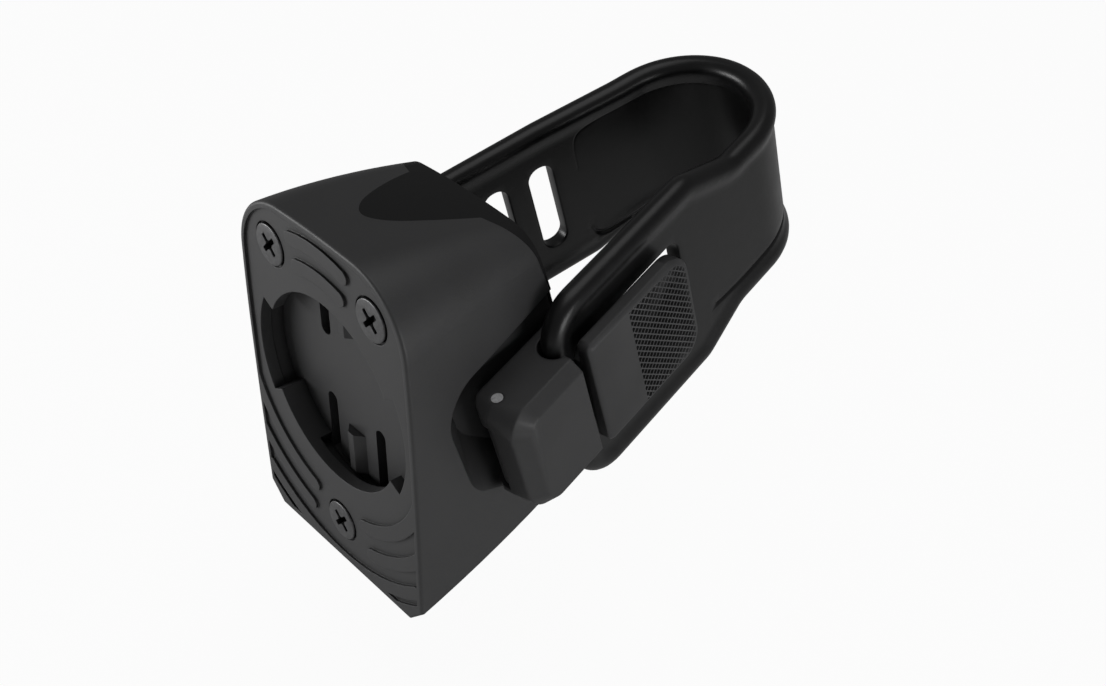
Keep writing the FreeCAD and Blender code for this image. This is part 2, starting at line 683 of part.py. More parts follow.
def hook_block():
    """The hinged block in (N, S, W), with the channel for the strap's end bar."""
    outer = LOOP_R + HOOK_OUTER_N
    inner = LOOP_R - BLOCK_INNER_DEPTH
    foot = LOOP_R + WEB_FOOT_N
    height = HOOK_TOP_W - HOOK_BOTTOM_W
    corners = [
        (outer, BLOCK_REAR_S, 0), (outer, BLOCK_FRONT_S + HOOK_FRONT_BEVEL, HOOK_EDGE_R),
        (outer - HOOK_CHAMFER, BLOCK_FRONT_S, HOOK_EDGE_R), (foot, PIN_S - HOOK_NOSE_R, HOOK_NOSE_R),
        (foot, NECK_REAR_S, 0), (inner, NECK_REAR_S, 0), (inner, BLOCK_REAR_S, 0),
    ]
    plan = rounded_outline([(n, s, HOOK_BOTTOM_W) for n, s, r in corners], [r for n, s, r in corners])
    block = Part.Face(plan).extrude(Vector(0, 0, height))
    side = rounded_outline([
        (foot, BLOCK_FRONT_S, HOOK_BOTTOM_W), (foot, BLOCK_FRONT_S, HOOK_TOP_W),
        (foot, NECK_REAR_S, HOOK_TOP_W), (foot, NECK_REAR_S, HOOK_BOTTOM_W),
    ], [HOOK_BOTTOM_CORNER_R, HOOK_TOP_CORNER_R, 0, 0])
    block = block.common(Part.Face(side).extrude(Vector(outer - foot, 0, 0)))
    channel = Part.makeCylinder(CHANNEL_R, 2 * height, Vector(LOOP_R + CHANNEL_N, CHANNEL_S, HOOK_BOTTOM_W - height / 2))
    return block.cut(channel)


def lug_room():
    """What is open between the ears so that the lug fits from the closed hook to the open one, in (N, S, W)."""
    low, high = HOOK_BOTTOM_W + EAR_THICKNESS, HOOK_TOP_W - EAR_THICKNESS
    pin_n = LOOP_R - PIN_DEPTH
    room = Part.makeCylinder(KNUCKLE_R + LUG_SWEEP_ROOM, high - low, Vector(pin_n, PIN_S, low))
    return room.fuse(box((pin_n - 12, PIN_S - 6, low), (pin_n + 0.4, PIN_S + 5.2, high)))


def hook_tee():
    """The grip plate, with its rear corners rounded and its outer edge broken, in (N, S, W)."""
    n = LOOP_R + HOOK_OUTER_N - TEE_THICKNESS
    points = [
        (0, TEE_FRONT_S, TEE_BOTTOM_W), (0, TEE_FRONT_S, TEE_TOP_W),
        (0, TEE_REAR_S, TEE_TOP_W), (0, TEE_REAR_S, TEE_BOTTOM_W),
    ]
    outline = rounded_outline(points, [TEE_FRONT_CORNER_R] * 2 + [TEE_CORNER_R] * 2)
    plate = Part.Face(outline).extrude(Vector(TEE_THICKNESS, 0, 0))
    plate.translate(Vector(n, 0, 0))
    outer = n + TEE_THICKNESS
    return plate.makeChamfer(TEE_EDGE, [e for e in plate.Edges if e.BoundBox.XMin > outer - 0.01])


def make_hook():
    block = hook_block()
    outer = LOOP_R + HOOK_OUTER_N
    for w, up in ((HOOK_TOP_W, 1), (HOOK_BOTTOM_W, -1)):
        wedge = polygon_face([
            (outer - HOOK_CHAMFER, -70, w), (outer + 1, -70, w - up * (HOOK_CHAMFER + 1)), (outer + 1, -70, w + up)])
        block = block.cut(wedge.extrude(Vector(0, 60, 0)))
    block = block.cut(lug_room())
    low, high = NEAR_SLOT_CENTRE_W - NECK_HALF_HEIGHT, NEAR_SLOT_CENTRE_W + NECK_HALF_HEIGHT
    neck = box((LOOP_R + WEB_FOOT_N, NECK_FRONT_S, low), (LOOP_R + HOOK_OUTER_N - 1, NECK_REAR_S, high))
    hook = to_side(block.fuse(neck).fuse(hook_tee()).removeSplitter())
    return hook.cut(post_frame(pin_space(0)))


def make_pin():
    foot_w = HOOK_BOTTOM_W + PIN_RECESS
    return post_frame(Part.makeCylinder(PIN_R, HOOK_TOP_W - foot_w, Vector(*pin_place(), foot_w)))


def build():
    body = make_body()
    pad = make_pad(body)
    parts = {
        "housing": make_housing(body, pad),
        "face_plate": make_face_plate(body),
        "detent_disc": make_detent_disc(),
        "saddle_pad": pad.cut(post_frame(scoop())),
        "strap": make_strap(),
        "strap_hook": make_hook(),
        "hinge_pin": make_pin(),
    }
    for name, (x, z) in screw_places().items():
        parts["face_screw_" + name] = make_screw(x, z)
        parts["threaded_insert_" + name] = make_insert(x, z)
    return parts


os.makedirs("parts", exist_ok=True)
for node, shape in build().items():
    shape.exportStep(os.path.join("parts", node + ".step"))
    print(node, "solids", len(shape.Solids), "volume", round(shape.Volume, 2), "valid", shape.isValid())
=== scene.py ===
import bmesh
import bpy
import math
import numpy as np
from bpy.props import FloatProperty, FloatVectorProperty, IntProperty, PointerProperty
from mathutils import Matrix, Vector
from mathutils.geometry import delaunay_2d_cdt


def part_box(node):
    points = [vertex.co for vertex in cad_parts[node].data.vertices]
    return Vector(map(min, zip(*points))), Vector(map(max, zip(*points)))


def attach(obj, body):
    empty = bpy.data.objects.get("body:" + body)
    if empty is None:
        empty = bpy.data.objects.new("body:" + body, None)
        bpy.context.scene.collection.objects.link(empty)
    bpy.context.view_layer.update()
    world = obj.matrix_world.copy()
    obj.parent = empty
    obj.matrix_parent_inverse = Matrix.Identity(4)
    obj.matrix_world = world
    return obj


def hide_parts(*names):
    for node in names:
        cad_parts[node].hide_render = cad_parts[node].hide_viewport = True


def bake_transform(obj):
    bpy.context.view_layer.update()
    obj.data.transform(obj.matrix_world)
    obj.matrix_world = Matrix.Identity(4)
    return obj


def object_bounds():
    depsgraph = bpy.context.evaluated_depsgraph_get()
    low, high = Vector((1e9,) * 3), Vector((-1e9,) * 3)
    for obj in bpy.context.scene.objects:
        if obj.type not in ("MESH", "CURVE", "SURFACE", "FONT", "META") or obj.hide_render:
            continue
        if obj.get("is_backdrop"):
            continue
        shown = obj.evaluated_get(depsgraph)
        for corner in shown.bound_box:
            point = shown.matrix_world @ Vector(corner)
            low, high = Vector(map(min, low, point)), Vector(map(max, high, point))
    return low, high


bl_info = {
    "name": "Bike Radar Mount",
    "version": (1, 0, 0),
    "blender": (4, 5, 0),
    "location": "3D View > Sidebar > Radar Mount",
    "description": "Moulds the rubber strap, finishes the other pieces and sets up the studio",
    "category": "Object",
}

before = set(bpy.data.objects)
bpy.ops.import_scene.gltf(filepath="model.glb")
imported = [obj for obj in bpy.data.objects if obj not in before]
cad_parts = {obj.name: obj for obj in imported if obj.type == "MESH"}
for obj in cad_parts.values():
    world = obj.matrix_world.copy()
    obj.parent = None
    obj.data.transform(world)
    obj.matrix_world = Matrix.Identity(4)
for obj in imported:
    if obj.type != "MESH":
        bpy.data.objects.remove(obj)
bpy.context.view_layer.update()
MM = 0.001
ROOT = "mount"
HOOK = "hook"

# Strap: corners and lips, in metres.
NEAR_CORNER_R = 6.5 * MM        # front corners of the right side
FAR_CORNER_R = 5.0 * MM         # front corners of the left side
SLOT_CORNER_R = 1.8 * MM
LIP = 0.26 * MM                 # width of the rounded lip round a slot
LIP_OUT = np.array([0, 0.05, 0.11, 0.17, 0.22, 0.26, 0.26, 0.26, 0.22, 0.17, 0.11, 0.05, 0]) * MM
LIP_UP = np.array([         # height of the same points, in half thicknesses
    1, 0.99, 0.965, 0.92, 0.85, 0.74, 0, -0.74, -0.85, -0.92, -0.965, -0.99, -1.0])

# Strap: where its mesh points lie.
OUTLINE_STEP = 0.7 * MM
LINE_STEP = 0.5 * MM            # slots and fine lines
ROLL_STEP = 0.9 * MM
ROLL_ROWS = (0.3, 0.65, 1.0, 1.3, 1.6, 2.0, 2.6)            # from the outline, in mm
LINE_ROWS = (-2.2, -1.3, -0.6, 0.0, 0.6, 1.3, 2.2)          # beside a line, in half widths
LEAST_R = 0.4 * MM              # least radius of a row's corner
GRID_MARGIN = 3.0 * MM          # least distance of the grid from the outline
OUTLINE_MARGIN = 0.15 * MM      # least distance of any point from the outline
SLOT_MARGIN = 0.22 * MM         # and from a slot
LINE_MARGIN = 3                 # least distance of the grid from a line, in half widths
ON_OUTLINE = 0.05 * MM          # nearer than this, a rim point is the outline's
UV_SCALE = 10                   # UV units in a metre
BATCH = 64                      # pieces of a line that are worked out at a time

# Hook.
SLIVER = 0.003 * MM             # keeps a cut's faces off the block's own
WELD = 0.002 * MM               # points nearer than this become one
CUT_REACH = 3 * MM              # how far a cut goes past the block
CUT_LOW = -8.0 * MM             # where it starts, from the strap's middle surface
CUT_SWELL = -0.5 * MM           # where its radius starts to change
CUT_POINTS = 21                 # points of its quarter circle
GRIP_FACE = 3.0 * MM            # height of the grip plate's face over the strap
KNURL_FIELD = (-32.6, -21.35, -14.5, 1.45)                  # front, rear, bottom, top, in mm
KNURL_CORNER = 2.9              # in mm
KNURL_DEPTH = 0.16 * MM

# Screws.
SCREW_SIDES = 72
SCREW_RIM = ((0.16, 0.0), (0.07, 0.02), (0.015, 0.08), (0.0, 0.17))     # in and down, in mm
SCREW_TIP = 0.4 * MM
CROSS_STEP = 0.07 * MM

# Finishes: noise as (grains per mm, detail, roughness), depths in metres, the rest in mm.
GRAIN = (5.5, 3.0, 0.65)
CLOUD = (0.16, 2.0, 0.5)
GRAIN_DEPTH = 0.006 * MM
DISC_GRAIN_DEPTH = 0.004 * MM
EDGE_R = 0.18
HOOK_EDGE_R = 0.4
FACE_SEAM = 3.8                 # depth of the seam between face plate and body
TURNED_PITCH = 0.16             # distance between the rings of turned metal

# Studio, in metres. A light is (name, its power's setting, width and height, place from the
# object's middle).
FLOOR_HALF = 3
FLOOR_DROP = 0.02
LIGHTS = (
    ("key_front", "key", (0.30, 0.12), (-0.30, -0.34, 0.02)),
    ("fill_right", "fill", (0.24, 0.12), (0.42, 0.02, 0.025)),
    ("top_soft", "top", (0.40, 0.40), (0.02, 0.05, 0.50)))
CAMERA_PLACE = (0.131992, -0.0787599, 0.1190225)
CAMERA_AXES = (                 # right, up and behind
    (0.65413025, 0.75636128, 0.00558915),
    (-0.45296591, 0.38580314, 0.80372745),
    (0.60575201, -0.52827413, 0.59497138))
CAMERA_SHIFT = (0.0011, 0.0064)


# ---------------------------------------- settings

def length(name, description, millimetres):
    """A length that a user may change, in metres."""
    return FloatProperty(
        name=name, description=description, default=millimetres * MM,
        subtype="DISTANCE", unit="LENGTH", precision=5)


def colour(name, description, rgb):
    """A colour that a user may change."""
    return FloatVectorProperty(
        name=name, description=description, default=rgb, size=3, min=0.0, max=1.0,
        subtype="COLOR")


def degrees(name, description, angle):
    """An angle that a user may change."""
    return FloatProperty(
        name=name, description=description, default=math.radians(angle),
        subtype="ANGLE", unit="ROTATION")


def number(name, description, value, unit="NONE"):
    """Another number of 0 or more that a user may change."""
    return FloatProperty(
        name=name, description=description, default=value, min=0.0, unit=unit)


class RadarMountStrap(bpy.types.PropertyGroup):
    """Sizes of the strap. Places along it are under 0 in front of the bend"""
    tilt: degrees("Post tilt", "How far the seat post leans towards the face", 15.0)
    converge: degrees("Side angle", "How far each side of the loop leans in towards the rear", 9.0)
    loop_r: length("Bend radius", "Outer radius of the loop's round end", 13.1)
    loop_v: length(
        "Bend centre", "Distance of the round end's centre from the face, square to the post", 61.5)
    bead_r: length("Bead radius", "Radius of the rolled edge", 1.65)
    web: length("Web thickness", "Thickness between the rolled edges", 2.3)
    roll: length("Roll width", "Distance over which a rolled edge falls to the web", 2.2)
    centre_w: length("Middle height", "Height of the loop's middle along the post", -8.9)
    half: length("Half height", "Half the height of the loop", 12.2)
    near_centre_w: length("Right middle height", "Height of the wide right side's middle", -8.6)
    near_half: length("Right half height", "Half the height of the wide right side", 15.7)
    near_front: length("Right front end", "Front end of the right side, from the bend", -43.2)
    jog_start: length("Jog start", "Where the wide right side starts to narrow", -14.3)
    jog_end: length("Jog end", "Where the right side has the loop's own height", -5.1)
    foot_jog_start: length(
        "Right foot jog start", "Where the right side's lower edge starts to rise", -15.8)
    foot_jog_end: length(
        "Right foot jog end", "Where the right side's lower edge has the loop's own height", -7.6)
    jog_r: length("Jog radius", "Radius of the outline's soft corners beside the bend", 5.0)
    slot_centre_w: length("Button slot height", "Height of the button slot's middle", -6.9)
    slot_front: length("Button slot front", "Front end of the button slot", -39.9)
    slot_rear: length("Button slot rear", "Rear end of the button slot", -18.2)
    slot_half: length("Button slot half height", "Half the height of the button slot", 7.1)
    slot_fall: length(
        "Button slot fall", "How much lower the button slot's upper edge is at its front end", 0.4)
    far_front: length("Left front end", "Front end of the left side, from the bend", -53.0)
    far_top_w: length("Left upper edge", "Height of the left side's upper edge", 3.8)
    far_jog_start: length(
        "Left jog start", "Where the left side's upper edge starts to fall, from the bend", -16.0)
    far_jog_end: length(
        "Left jog end", "Where the left side's upper edge has the loop's own height", -3.0)
    far_bottom_w: length("Left lower edge", "Height of the left side's lower edge", -22.9)
    far_foot_start: length(
        "Left foot jog start",
        "Where the left side's lower edge starts to rise, from the bend", -11.0)
    far_foot_end: length(
        "Left foot jog end", "Where the left side's lower edge has the loop's own height", -4.0)
    rung_first: length(
        "First ladder slot", "Middle of the rearmost ladder slot, from the bend", -17.45)
    rung_pitch: length("Ladder pitch", "Distance from one ladder slot to the next", 7.5)
    rung_width: length("Ladder slot width", "Width of a ladder slot along the strap", 3.9)
    rung_centre_w: length("Ladder height", "Height of the ladder slots' middle", -9.95)
    rung_half: length("Ladder slot half height", "Half the height of a ladder slot", 7.25)
    rungs: IntProperty(
        name="Ladder slots", description="Number of ladder slots", default=5, min=1, max=8)
    give_u: length(
        "Give start", "Where the right side starts to follow the hook, from the bend", -20.0)
    give: length("Give", "Length over which the right side comes to follow the hook", 14.6)
    give_turn: degrees(
        "Give direction", "Direction of the give, from the right towards the face", 35.0)
    mesh_step: length("Mesh step", "Distance between mesh points on the strap's web", 1.1)


class RadarMountHook(bpy.types.PropertyGroup):
    """Sizes of the hook's block, along and up as in the strap"""
    outer: length("Block height", "Height of the block's outer face over the strap", 3.0)
    front: length("Block front", "Front end of the block, from the bend", -54.2)
    top: length("Block top", "Height of the block's top", 1.6)
    bottom: length("Block bottom", "Height of the block's bottom", -15.8)
    chamfer: length("Chamfer", "Width of the broken edges at top and bottom", 1.5)
    front_bevel: length("Front bevel", "Length of the broken edge at the front", 1.9)
    corner_face: length("Face corner", "Radius of the outer face's front corners", 2.2)
    corner_rim: length(
        "Rim corner", "Radius of the front corners at the foot of the broken edges", 3.6)
    corner_low: length("Low corner", "Radius of the front corners near the pin", 2.4)
    corner_more: length("Lower corner", "How much larger the lower corner is near the pin", 1.1)


class RadarMountScrew(bpy.types.PropertyGroup):
    """Sizes of the screws"""
    gap: length("Head gap", "Gap round the head, more than the solid's", 0.05)
    rise: length("Head rise", "How far the head stands above the solid's", 0.24)
    brim: length("Brim", "Height of the head's straight edge", 0.35)
    shank_r: length("Shank radius", "Radius of the screw's shank", 1.5)
    cross_half: length("Cross half length", "Half the length of each bar of the cross", 1.62)
    cross_width: length("Cross width", "Width of each bar of the cross", 0.72)
    cross_depth: length("Cross depth", "Depth of the cross", 1.0)
    draft: length("Cross draft", "How far the cross's walls lean in", 0.10)


class RadarMountFinish(bpy.types.PropertyGroup):
    """Colours, and the pitch of the grip pattern"""
    body: colour("Body", "Colour of the moulded body", (0.036, 0.036, 0.037))
    face: colour("Face", "Colour of the face plate", (0.036, 0.036, 0.037))
    disc: colour("Disc", "Colour of the socket's floor", (0.036, 0.036, 0.037))
    pad: colour("Pad", "Colour of the rubber pad", (0.0065, 0.0065, 0.0068))
    strap: colour("Strap", "Colour of the rubber strap", (0.0055, 0.0055, 0.0058))
    hook: colour("Hook", "Colour of the moulded hook", (0.036, 0.036, 0.037))
    steel: colour("Pin", "Colour of the steel pin", (0.62, 0.62, 0.63))
    screw: colour("Screws", "Colour of the dark screws", (0.125, 0.125, 0.127))
    brass: colour("Inserts", "Colour of the brass inserts", (0.72, 0.52, 0.24))
    knurl_pitch: length("Knurl pitch", "Distance between the ribs of the grip pattern", 0.765)


class RadarMountStage(bpy.types.PropertyGroup):
    """Floor, lights and lens"""
    floor: colour("Floor", "Colour of the floor and backdrop", (0.90, 0.90, 0.90))
    key: number("Key light", "Power of the key light", 0.98, "POWER")
    fill: number("Fill light", "Power of the right fill light", 0.50, "POWER")
    top: number("Top light", "Power of the top light", 0.60, "POWER")
    ambient: number("Ambient", "Strength of the light from all round", 0.16)
    lens: number("Lens", "Focal length in millimetres", 51.104)


# ---------------------------------------- shader maths

class Socket:
    """One output socket of a material, with arithmetic that adds Math nodes."""

    def __init__(self, maker, output):
        self.maker = maker
        self.output = output

    def math(self, operation, *others):
        """A Math node's result, with this socket first and the others after it."""
        inputs = {0: self, **dict(enumerate(others, 1))}
        return self.maker.node("ShaderNodeMath", {"operation": operation}, inputs)

    def __add__(self, other):
        return self.math("ADD", other)

    def __sub__(self, other):
        return self.math("SUBTRACT", other)

    def __mul__(self, other):
        return self.math("MULTIPLY", other)

    def __truediv__(self, other):
        return self.math("DIVIDE", other)

    def __rsub__(self, other):
        return self.maker.node("ShaderNodeMath", {"operation": "SUBTRACT"}, {0: other, 1: self})

    __radd__ = __add__
    __rmul__ = __mul__

    def __abs__(self):
        return self.math("ABSOLUTE")

    def least(self, other):
        return self.math("MINIMUM", other)

    def most(self, other):
        return self.math("MAXIMUM", other)

    def wave(self, period):
        """Distance to the nearest multiple of the period, from 0 to half of it."""
        return self.math("PINGPONG", period / 2)

    def step(self, low, high):
        """0 below low and 1 above high, smooth between."""
        settings = {"interpolation_type": "SMOOTHSTEP"}
        inputs = {0: self, 1: low, 2: high, 3: 0.0, 4: 1.0}
        return self.maker.node("ShaderNodeMapRange", settings, inputs)


class Maker:
    """Builds one material node by node."""

    def __init__(self, name):
        self.material = bpy.data.materials.new(name)
        self.material.use_nodes = True
        self.tree = self.material.node_tree
        self.tree.nodes.clear()

    def node(self, kind, settings=None, inputs=None, output=0):
        """Adds a node, with its settings first, then the values or links of its sockets."""
        made = self.tree.nodes.new(kind)
        for key, value in (settings or {}).items():
            setattr(made, key, value)
        for key, value in (inputs or {}).items():
            if isinstance(value, Socket):
                self.tree.links.new(value.output, made.inputs[key])
            else:
                made.inputs[key].default_value = value
        return Socket(self, made.outputs[output])

    def place(self):
        """Position on the piece, in millimetres."""
        here = self.node("ShaderNodeTexCoord", output="Object")
        inputs = {0: here, "Scale": 1 / MM}
        return self.node("ShaderNodeVectorMath", {"operation": "SCALE"}, inputs)

    def dot(self, a, b):
        """Dot product of two vectors."""
        settings = {"operation": "DOT_PRODUCT"}
        return self.node("ShaderNodeVectorMath", settings, {0: a, 1: b}, "Value")

    def along(self, point, axis, origin):
        """Distance of a point along an axis from an origin, both in millimetres."""
        return self.dot(point, axis) - float(np.dot(axis, origin))

    def noise(self, point, scale, detail, roughness):
        """Noise of about that many grains per millimetre, from 0 to 1."""
        inputs = {"Vector": point, "Scale": scale, "Detail": detail, "Roughness": roughness}
        return self.node("ShaderNodeTexNoise", {"noise_dimensions": "3D"}, inputs)

    def mix(self, factor, a, b):
        """Colour or vector a where the factor is 0 and b where it is 1."""
        return self.node("ShaderNodeMix", {"data_type": "RGBA"}, {0: factor, 6: a, 7: b}, 2)

    def painted_crevice_shade(self, reach, dark=0.35, light=0.85):
        """Painted shade: 1 in the open, and down to 0 in a gap or an inner corner within a reach in
        mm, where the colour is painted darker. dark and light are the open shares at which it is 0
        and 1."""
        open_share = self.node(
            "ShaderNodeAmbientOcclusion", {"samples": 6}, {"Distance": reach * MM}, "AO")
        return open_share.step(dark, light)

    def soft_edges(self, radius):
        """The normal of the surface with each edge rounded by a radius in millimetres."""
        return self.node("ShaderNodeBevel", {"samples": 6}, {"Radius": radius * MM})

    def bump(self, height, distance, normal=None):
        """The normal of a relief with a height from 0 to 1 times a distance in metres."""
        inputs = {"Height": height, "Distance": distance, "Strength": 1.0}
        if normal is not None:
            inputs["Normal"] = normal
        return self.node("ShaderNodeBump", {}, inputs)

    def finish(self, base, roughness, normal, metallic=0.0, specular=0.5):
        """Joins what varies in a Principled shader, and gives the material."""
        self.surface(self.node("ShaderNodeBsdfPrincipled", {}, {
            "Base Color": base, "Roughness": roughness, "Normal": normal, "Metallic": metallic,
            "Specular IOR Level": specular}))
        return self.material

    def surface(self, shader):
        """Links a shader to the material's output."""
        out = self.tree.nodes.new("ShaderNodeOutputMaterial")
        self.tree.links.new(shader.output, out.inputs["Surface"])


def rgba(rgb, factor=1.0):
    """A colour times a factor, with full alpha."""
    return tuple(min(1.0, c * factor) for c in rgb) + (1.0,)


def moulded_tone(m, p, rgb):
    """Fine grain, slow clouds, and the colour a little darker and lighter with the clouds."""
    fine, cloud = m.noise(p, *GRAIN), m.noise(p, *CLOUD)
    return fine, cloud, m.mix(cloud.step(0.3, 0.7), rgba(rgb, 0.93), rgba(rgb, 1.07))


def moulded_plastic(name, rgb, roughness=0.50, grain=GRAIN_DEPTH, painted_gap_shade=(0.8, 0.35, 0.85)):
    """Spark-textured plastic: a fine grain in the relief, a faint cloudiness in colour and sheen,
    painted shade that darkens gaps and inner corners, with its reach and open shares as given,
    and soft edges, but none beside the seam between face plate and body."""
    m = Maker(name)
    p = m.place()
    fine, cloud, tone = moulded_tone(m, p, rgb)
    base = m.mix(fine.step(0.35, 0.7), tone, rgba(rgb, 1.12))
    # painted shade: gaps and inner corners are mixed towards a fifth of the colour
    base = m.mix(m.painted_crevice_shade(*painted_gap_shade), rgba(rgb, 0.2), base)
    rough = roughness + (cloud - 0.5) * 0.10 + (fine - 0.5) * 0.08
    away = abs(m.along(p, (0.0, 1.0, 0.0), (0.0, FACE_SEAM, 0.0))).step(0.3, 0.6)
    plain = m.node("ShaderNodeNewGeometry", output="Normal")
    normal = m.mix(away, plain, m.soft_edges(EDGE_R))
    return m.finish(base, rough, m.bump(fine, grain, normal))


def moulded_rubber(name, rgb, roughness, specular):
    """Satin rubber: soft low ripples, fine pores and a slightly uneven sheen."""
    m = Maker(name)
    p = m.place()
    pores = m.noise(p, 7.0, 2.0, 0.6)
    ripple = m.noise(p, 0.35, 2.0, 0.5)
    base = m.mix(ripple.step(0.3, 0.75), rgba(rgb, 0.92), rgba(rgb, 1.15))
    rough = roughness + (ripple - 0.5) * 0.12 + (pores - 0.5) * 0.06
    normal = m.bump(ripple, 0.02 * MM, m.bump(pores, 0.004 * MM))
    return m.finish(base, rough, normal, specular=specular)


def knurled_plastic(name, rgb, pitch, origin, along, up):
    """The hook's plastic, with a diagonal grid of ribs between sunk cells on the grip plate's
    outer face. The cells sink in the bump only and carry painted shade (a darker colour, and a
    metallic share that reflects nearly nothing); the ribs carry painted light (a lighter colour).
    The field is where the distance from a rectangle with rounded rear corners is under 0, and its
    front is cut straight. All lengths are in mm."""
    m = Maker(name)
    p = m.place()
    s, w = m.along(p, along, origin), m.along(p, up, origin)
    fine, cloud, tone = moulded_tone(m, p, rgb)
    front, rear, bottom, top = KNURL_FIELD
    edge_s = s - (rear - KNURL_CORNER)
    edge_w = abs(w - (bottom + top) / 2) - ((top - bottom) / 2 - KNURL_CORNER)
    out_s, out_w = edge_s.most(0.0), edge_w.most(0.0)
    corner = (out_s * out_s + out_w * out_w).math("SQRT")
    outside = corner + edge_s.most(edge_w).least(0.0) - KNURL_CORNER
    out = Vector(np.cross(along, up))
    facing = abs(m.dot(m.node("ShaderNodeTexCoord", output="Normal"), out))
    inside = (1.0 - outside.step(-0.12, 0.0)) * s.step(front - 0.06, front + 0.06)
    inside = inside * facing.step(0.9, 0.97) * m.along(p, out, origin).step(-0.5, -0.2)
    rows = ((s + w) * math.sqrt(0.5)).wave(pitch)
    ticks = ((s - w) * math.sqrt(0.5)).wave(pitch)
    cell = rows.step(0.05, 0.15) * ticks.step(0.04, 0.13) * inside
    # painted light: the ribs in the field are lighter than the plate around them
    base = m.mix(inside * (1.0 - cell), tone, rgba(rgb, 1.95))
    # painted shade: the sunk cells are darker
    base = m.mix(cell, base, rgba(rgb, 0.22))
    # painted shade: gaps and inner corners are darker
    base = m.mix(m.painted_crevice_shade(0.8), rgba(rgb, 0.22), base)
    rough = 0.48 + (cloud - 0.5) * 0.10 + (fine - 0.5) * 0.06 + cell * 0.4
    soft = m.bump(fine, GRAIN_DEPTH, m.soft_edges(HOOK_EDGE_R))
    # the metallic share of the cells is painted shade too: it leaves them nearly black
    return m.finish(base, rough, m.bump(cell * -1.0, KNURL_DEPTH, soft), metallic=cell * 0.9)


def plated_steel(name, rgb, roughness, centre, metallic=1.0):
    """Turned metal: fine rings about an axis along Y through a centre, with small scuffs, and
    painted shade in gaps and inner corners.
    """
    m = Maker(name)
    p = m.place()
    x = m.along(p, (1.0, 0.0, 0.0), centre)
    z = m.along(p, (0.0, 0.0, 1.0), centre)
    turned = (x * x + z * z).math("SQRT").wave(TURNED_PITCH) / (TURNED_PITCH / 2)
    scuff = m.noise(p, 2.6, 3.0, 0.6)
    base = m.mix(scuff.step(0.35, 0.7), rgba(rgb, 0.85), rgba(rgb, 1.15))
    # painted shade: gaps and inner corners, such as a screw's cross recess, go nearly black
    base = m.mix(m.painted_crevice_shade(0.9), rgba(rgb, 0.06), base)
    rough = roughness + (scuff - 0.5) * 0.16 + (turned - 0.5) * 0.04
    return m.finish(base, rough, m.bump(turned, 0.003 * MM), metallic=metallic)


# ---------------------------------------- lines in a plane

def unit(vectors):
    """The vectors, each divided by its length."""
    return vectors / np.linalg.norm(vectors, axis=1)[:, None]


def left(vectors):
    """The vectors turned left by a quarter turn: (x, y) becomes (-y, x)."""
    return np.stack([-vectors[:, 1], vectors[:, 0]], 1)


def cross(a, b):
    """Cross product of vectors in a plane, which is over 0 where b turns left from a."""
    return a[:, 0] * b[:, 1] - a[:, 1] * b[:, 0]


def inset(points, distance):
    """Corners of a counter-clockwise polygon whose sides are moved in by a distance: each is
    where two moved sides meet."""
    p = np.asarray(points, float)
    d = unit(np.roll(p, -1, 0) - p)
    inward = left(d)
    before, normal_before = np.roll(d, 1, 0), np.roll(inward, 1, 0)
    t = cross((inward - normal_before) * distance, d) / cross(before, d)
    return p + normal_before * distance + before * t[:, None]


def rounded(points, radii, step):
    """A closed line through a polygon's corners, each rounded by its radius r: the arc starts
    r tan(a / 2) before the corner, where a is the turn there. Straight runs and arcs have points
    about a step apart."""
    p = np.asarray(points, float)
    d = unit(np.roll(p, -1, 0) - p)
    before = np.roll(d, 1, 0)
    turn = np.arctan2(cross(before, d), (before * d).sum(1))
    back = np.asarray(radii) * np.tan(np.abs(turn) / 2)
    sides = left(before) * np.sign(turn)[:, None]
    pieces = []
    for i, (corner, r, a) in enumerate(zip(p, radii, turn)):
        start = corner - before[i] * back[i]
        t = np.linspace(0, abs(a), max(3, int(r * abs(a) / step) + 2))[:, None]
        pieces.append(start + sides[i] * r * (1 - np.cos(t)) + before[i] * r * np.sin(t))
        j = (i + 1) % len(p)
        end, goal = corner + d[i] * back[i], p[j] - d[i] * back[j]
        count = max(1, int(np.linalg.norm(goal - end) / step))
        pieces.append(end + (goal - end) * np.linspace(0, 1, count + 1)[1:-1, None])
    return np.concatenate(pieces)


def smooth_line(points, step):
    """A Catmull-Rom curve through the points, with samples about a step apart."""
    p = np.vstack([2 * points[0] - points[1], points, 2 * points[-1] - points[-2]])
    a, b, c, d = p[:-3, None], p[1:-2, None], p[2:-1, None], p[3:, None]
    count = int(np.linalg.norm(np.diff(points, axis=0), axis=1).max() / step) + 2
    t = np.linspace(0, 1, count)[None, :-1, None]
    square, cube = 2 * a - 5 * b + 4 * c - d, 3 * b - a - 3 * c + d
    curve = 0.5 * (2 * b + (c - a) * t + square * t ** 2 + cube * t ** 3)
    return np.vstack([curve.reshape(-1, 2), points[-1:]])


def distance_to(points, line, closed=True):
    """Shortest distance from each point to a line of straight pieces, some pieces at a time."""
    a = line if closed else line[:-1]
    b = np.roll(line, -1, 0) if closed else line[1:]
    ab = b - a
    found = np.full(len(points), np.inf)
    for k in range(0, len(a), BATCH):
        ap = points[:, None] - a[None, k:k + BATCH]
        e = ab[k:k + BATCH]
        t = np.clip((ap * e).sum(2) / (e * e).sum(1), 0, 1)
        found = np.minimum(found, np.linalg.norm(ap - t[..., None] * e, axis=2).min(1))
    return found


